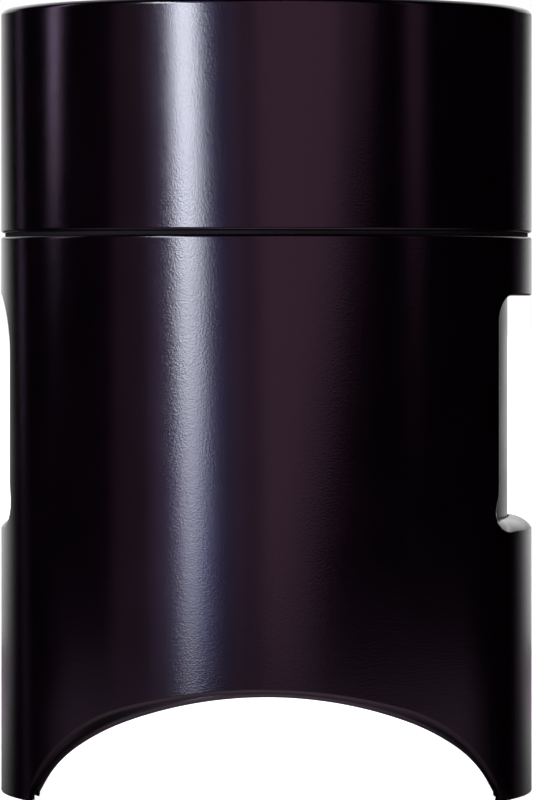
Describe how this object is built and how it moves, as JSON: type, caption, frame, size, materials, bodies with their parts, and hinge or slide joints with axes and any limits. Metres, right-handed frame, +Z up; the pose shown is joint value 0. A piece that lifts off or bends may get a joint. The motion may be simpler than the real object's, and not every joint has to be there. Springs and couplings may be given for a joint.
{
  "type": "sous vide circulator",
  "caption": "Pot-standing sous vide circulator: a dark gloss drum on arched feet with side windows, a lift-out head with top controls, and a pump and heater in its sleeve.",
  "frame": {"origin": "on the floor under the centre of the drum, level with the undersides of the foot pads", "axes": "+Z up along the drum's axis; -Y towards the front arch; +X towards the wider side window; the mains inlet faces +Y"},
  "size_m": [0.1, 0.1, 0.147],
  "materials": {
    "aubergine_gloss": "high gloss lacquer over a fine moulded orange-peel grain",
    "sleeve_gloss": "gloss moulded plastic",
    "black_plastic": "fine matt mould texture",
    "panel_gloss": "polished",
    "rubber_black": "matt silicone rubber",
    "rubber_grey": "matt silicone rubber",
    "steel": "fine brushed stainless steel",
    "steel_screw": "plain stainless steel",
    "motor_zinc": "zinc plated",
    "winding": "enamelled copper wire",
    "magnet": "ferrite, epoxy coated",
    "dial_metal": "dark anodised, turned top",
    "smoked_lens": "smoked and polished",
    "display_dark": "display module",
    "board_green": "solder mask",
    "can_aluminium": "drawn aluminium, sleeved",
    "core_yellow": "wound core in tape",
    "relay_blue": "moulded case",
    "sink_aluminium": "extruded, satin",
    "pin_brass": "plated contact",
    "button_satin": "satin keycap",
    "bearing_bronze": "sintered bronze"
  },
  "bodies": {
    "skirt": {"skirt_shell": "aubergine_gloss", "foot_pads": "rubber_black", "seam_ring": "rubber_black"},
    "head": {"head_shell": "aubergine_gloss", "guard_sleeve": "sleeve_gloss", "pump_base": "black_plastic", "shaft_bush": "bearing_bronze", "bulkhead": "black_plastic", "bulkhead_seal": "rubber_grey", "bulkhead_screws": "steel_screw", "heater_grommets": "rubber_grey", "shaft_seal": "rubber_grey", "heater_elements": "steel", "temperature_probe": "steel", "level_electrodes": "steel", "motor_can": "motor_zinc", "motor_end_cap": "black_plastic", "motor_bearings": "bearing_bronze", "stator": "winding", "motor_screws": "steel_screw", "power_board": "board_green", "power_board_posts": "black_plastic", "power_capacitors": "can_aluminium", "power_transformer": "core_yellow", "heater_relay": "relay_blue", "triac_heatsink": "sink_aluminium", "mains_inlet": "black_plastic", "inlet_pins": "pin_brass", "panel_seal": "rubber_grey", "control_panel": "panel_gloss", "panel_screws": "steel_screw", "display_lens": "smoked_lens", "display_module": "display_dark", "control_board": "board_green", "board_spacers": "black_plastic", "control_board_screws": "steel_screw", "button_switches": "black_plastic", "encoder_body": "motor_zinc"},
    "pump_rotor": {"pump_shaft": "steel", "rotor": "magnet", "impeller": "black_plastic"},
    "dial": {"setting_dial": "dial_metal", "encoder_shaft": "steel"},
    "start_key": {"start_button": "button_satin"},
    "power_key": {"power_button": "button_satin"}
  },
  "joints": [
    {"name": "head_lift", "type": "slide", "parent": "skirt", "child": "head", "axis": [0, 0, 1], "range_m": [0, 0.09]},
    {"name": "pump_spin", "type": "hinge", "parent": "head", "child": "pump_rotor", "pos_m": [0, 0, 0.08], "axis": [0, 0, 1], "continuous": true},
    {"name": "dial_turn", "type": "hinge", "parent": "head", "child": "dial", "pos_m": [0, 0, 0.144], "axis": [0, 0, 1], "continuous": true},
    {"name": "start_press", "type": "slide", "parent": "head", "child": "start_key", "axis": [0, 0, -1], "range_m": [0, 0.0006], "stiffness_N_per_m": 800, "springref_m": -0.0008},
    {"name": "power_press", "type": "slide", "parent": "head", "child": "power_key", "axis": [0, 0, -1], "range_m": [0, 0.0006], "stiffness_N_per_m": 800, "springref_m": -0.0008}
  ]
}
